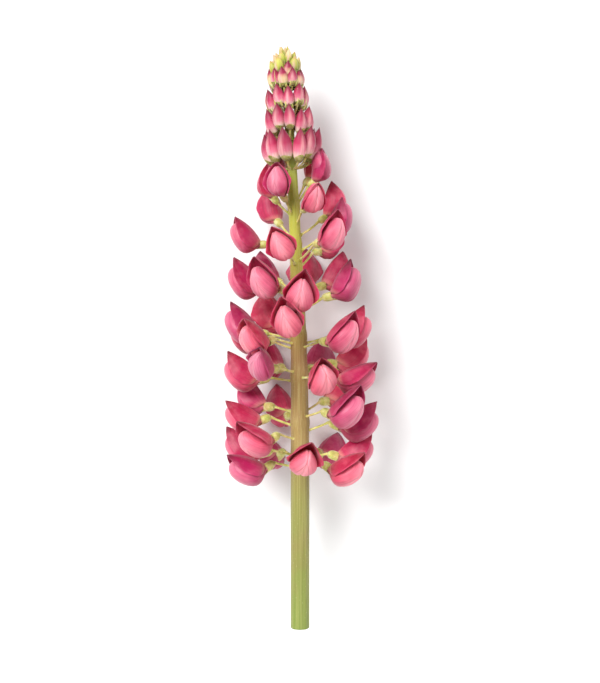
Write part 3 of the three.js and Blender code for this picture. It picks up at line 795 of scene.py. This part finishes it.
# Painted highlight: each bud is painted pale pink along its seam.
bud_lit = add_mix(nodes, links, add_math(nodes, links, "MULTIPLY", bud_ridge, 0.75), bud_turning,
                  linear(242, 184, 182))
bud_vein_share = add_math(nodes, links, "MULTIPLY_ADD", bud_veins, 3.0, -1.3, clamp=True)
bud_veined = add_mix(nodes, links, add_math(nodes, links, "MULTIPLY", bud_vein_share, 0.35), bud_lit,
                     linear(152, 36, 62))
bud_hue = nodes.new("ShaderNodeHueSaturation")
links.new(add_math(nodes, links, "MULTIPLY_ADD", bud_tint, 0.14, 1.0), bud_hue.inputs["Value"])
links.new(bud_veined, bud_hue.inputs["Color"])
links.new(bud_hue.outputs[0], shader.inputs["Base Color"])
shader.inputs["Subsurface Weight"].default_value = 0.18
shader.inputs["Subsurface Radius"].default_value = (1.0, 0.4, 0.4)
shader.inputs["Subsurface Scale"].default_value = 0.002
shader.inputs["Sheen Weight"].default_value = 0.2
shader.inputs["Sheen Roughness"].default_value = 0.45
add_bump(nodes, links, shader, bud_veins, 0.35, 0.0003)

green = bmesh.new()
tip_buds = bmesh.new()
petal_layers(tip_buds)
for order, facts in enumerate(BUD_WHORLS + TIP_WHORLS):
    is_tip = order >= len(BUD_WHORLS)
    whorl = TIP_DRAWS + order - len(BUD_WHORLS) if is_tip else BUD_DRAWS + order
    buds = tip_buds if is_tip else bmesh.new()
    if not is_tip:
        petal_layers(buds)
    for bud in range(facts["count"]):
        azimuth = facts["turn"] + 360 * bud / facts["count"] + BUD_UNEVEN["azimuth"] * vary(whorl, bud, 1)
        pitch = facts["pitch"] + BUD_UNEVEN["pitch"] * vary(whorl, bud, 2)
        axes = bloom_axes(facts["height"], azimuth, pitch)
        out = outward(facts["height"], azimuth)
        height = facts["height"] + BUD_UNEVEN["height"] * vary(whorl, bud, 4)
        place = stem_point(height) + out * facts["reach"]
        standing = stand(axes, place)
        length = facts["length"] * (1.12 + 0.1 * vary(whorl, bud, 3))
        width = facts["width"] * (0.87 + 0.08 * vary(whorl, bud, 10))
        part = bmesh.new()
        layers = petal_layers(part)
        add_bud(part, layers, length, width, whorl, bud)
        tint = vary(whorl, bud, 5)
        young = min(1.0, max(0.0, facts["young"] * (1 + 0.45 * vary(whorl, bud, 9))))
        for vert in part.verts:
            vert[layers["tint"]] = tint
            vert[layers["young"]] = young
        bmesh.ops.transform(part, matrix=standing, verts=part.verts)
        graft(buds, part)
        if not is_tip:
            root = stem_point(facts["height"] - 4)
            add_stalk(green, root + out * 0.5, root + out * 0.7 * facts["reach"] - axes[0] * 0.5,
                      place + axes[0] * 0.03 * length, BUD_STALK_RADIUS)
        add_bud_calyx(green, standing, length, width,
                      BUD_CALYX["cup"] + BUD_CALYX["young_cup"] * facts["young"],
                      BUD_CALYX["lip"] + BUD_CALYX["uneven_lip"] * vary(whorl, bud, 12))
        for hair in range(BUD_HAIRS):
            share = 0.03 + 0.4 * (hair + 0.5) / BUD_HAIRS
            turn = hair * GOLDEN_TURN + bud
            foot = bud_point(share, turn, length, width, 0.1)
            way = Vector((1.2, math.cos(turn), math.sin(turn) + 0.3 * vary(hair, bud, 24))).normalized()
            way = (standing.to_3x3() @ way).normalized()
            hairs.append((standing @ foot, way, 0.7 + 0.2 * vary(hair, bud, 25)))
        if order >= BRACTS_FROM:
            along = stem_axes(facts["height"])[0]
            beside = axes[1] * 0.3 * width
            for side in (-1, 1):
                add_bract(green, place - axes[0] * 0.4 + beside * side, out, along,
                          length * (0.8 + 0.2 * vary(whorl, bud, 11 + side)), BRACT_WIDTH)
    bmesh.ops.recalc_face_normals(buds, faces=buds.faces)
    if not is_tip:
        finish_piece(buds, f"buds_{order + 1}", (bud_skin,), (f"bud_whorl_{order + 1}",))
finish_piece(green, "bud_calyxes", (silky_green, stem_skin))
finish_piece(tip_buds, "tip_buds", (bud_skin,))

# ------------------------------------------------------------------ Silky hairs
# Fine pale hairs on the stem, on every calyx and round the foot of every bud. They all lean towards the tip
# of what they grow on. They are made a tuft at a time, because a large mesh takes each new hair more slowly.
TUFT = 60
HAIR_FOOT, HAIR_TIP = 0.035, 0.008

silky_hair, nodes, links, shader = new_finish("silky hair", 0.4, 0.5)
hair_tones = add_ramp(nodes, ((0.35, linear(206, 206, 150)), (0.65, linear(238, 232, 206))))
links.new(add_noise(nodes, links, stretched(nodes, links, (1, 1, 1)), 700), hair_tones.inputs[0])
links.new(hair_tones.outputs[0], shader.inputs["Base Color"])

fur = bmesh.new()
for first in range(0, len(hairs), TUFT):
    tuft = bmesh.new()
    for foot, way, length in hairs[first:first + TUFT]:
        turned = way.to_track_quat("Z", "Y").to_matrix().to_4x4()
        bmesh.ops.create_cone(tuft, cap_ends=True, segments=3, radius1=HAIR_FOOT, radius2=HAIR_TIP,
                              depth=length, matrix=Matrix.Translation(foot + way * length * 0.46) @ turned)
    graft(fur, tuft)
finish_piece(fur, "silky_hairs", (silky_hair,))

# ------------------------------------------------------------------ Table, light and camera
# A plain pale table in the broad light of a window, with two weak lamps. The camera looks down on the spike,
# a little from its tip's side.
TABLE_REACH = 20.0
CAMERA_TILT = math.radians(5)
CAMERA_AWAY = 0.86
LOOK_AT = Vector((0, 0, 0.035))

bm = bmesh.new()
bmesh.ops.create_grid(bm, x_segments=1, y_segments=1, size=TABLE_REACH)
table_mesh = bpy.data.meshes.new("table")
bm.to_mesh(table_mesh)
bm.free()
table = bpy.data.objects.new("table", table_mesh)
bpy.context.scene.collection.objects.link(table)
table_white, nodes, links, shader = new_finish("table white", 0.85, 0.1)
shader.inputs["Base Color"].default_value = (0.86, 0.86, 0.86, 1)
table_mesh.materials.append(table_white)


def aim(thing, place, target):
    thing.location = place
    thing.rotation_euler = (Vector(target) - Vector(place)).to_track_quat("-Z", "Y").to_euler()
    bpy.context.scene.collection.objects.link(thing)


sun = bpy.data.lights.new("window light", "SUN")
sun.energy = 3.6
sun.angle = math.radians(30)
aim(bpy.data.objects.new("window light", sun), (-0.60, 0.70, 1.10), (0, 0, 0))
for name, place, width, power in (
    ("fill lamp", (0.95, 0.15, 0.95), 0.9, 7),
    ("foot lamp", (-0.25, -1.1, 0.8), 0.8, 8),
):
    lamp = bpy.data.lights.new(name, "AREA")
    lamp.size = width
    lamp.energy = power
    aim(bpy.data.objects.new(name, lamp), place, (0, 0, 0.03))

world = bpy.data.worlds.new("soft room")
world.use_nodes = True
world.node_tree.nodes["Background"].inputs["Color"].default_value = (1, 1, 1, 1)
world.node_tree.nodes["Background"].inputs["Strength"].default_value = 0.3
bpy.context.scene.world = world
bpy.context.scene.view_settings.view_transform = "Standard"

lens = bpy.data.cameras.new("camera")
lens.lens = 85
camera = bpy.data.objects.new("camera", lens)
backward = Vector((0, math.sin(CAMERA_TILT), math.cos(CAMERA_TILT)))
aim(camera, LOOK_AT + backward * CAMERA_AWAY, LOOK_AT)
right = Vector((1, 0, 0))
camera.rotation_euler = Matrix((right, backward.cross(right), backward)).transposed().to_euler()
bpy.context.scene.camera = camera
